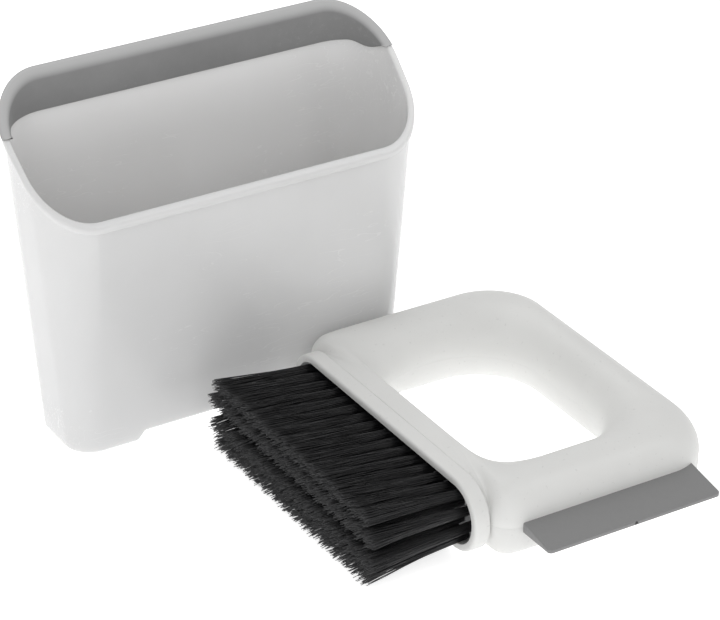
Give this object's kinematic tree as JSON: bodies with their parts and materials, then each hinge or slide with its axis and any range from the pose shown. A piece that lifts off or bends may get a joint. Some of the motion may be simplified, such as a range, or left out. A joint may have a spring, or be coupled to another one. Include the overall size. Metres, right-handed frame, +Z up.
{
  "type": "dustpan bin and brush set",
  "caption": "Upright dustpan bin with a slanted mouth and a soft lip, and a loop-handled hand brush with a squeegee edge lying beside it.",
  "frame": {"origin": "bottom centre of the whole set's box, on the surface it stands on", "axes": "+Z up; +X along the bin's width, towards the brush's loop and away from its bristle tips; +Y towards the bin's tall lip side"},
  "size_m": [0.2358, 0.2416, 0.1654],
  "materials": {
    "bin_plastic": "glossy moulded white polypropylene, slightly translucent",
    "lip_rubber": "satin grey soft elastomer",
    "handle_plastic": "satin moulded white plastic",
    "block_plastic": "satin light grey plastic",
    "anchor_wire": "bright drawn wire",
    "bristle": "black crimped nylon fibre",
    "blade_rubber": "satin grey soft elastomer"
  },
  "bodies": {
    "bin": {"bin_shell": "bin_plastic", "pan_lip": "lip_rubber"},
    "brush": {"handle_top_shell": "handle_plastic", "handle_bottom_shell": "handle_plastic", "head_frame": "handle_plastic", "tuft_block": "block_plastic", "tuft_anchors": "anchor_wire", "tufts_top_row": "bristle", "tufts_upper_row": "bristle", "tufts_lower_row": "bristle", "tufts_bottom_row": "bristle", "squeegee_blade": "blade_rubber"}
  },
  "joints": [
    {"name": "brush_lift", "type": "slide", "parent": "bin", "child": "brush", "axis": [0, -0.28, 0.96], "range_m": [0, 0.25]}
  ]
}
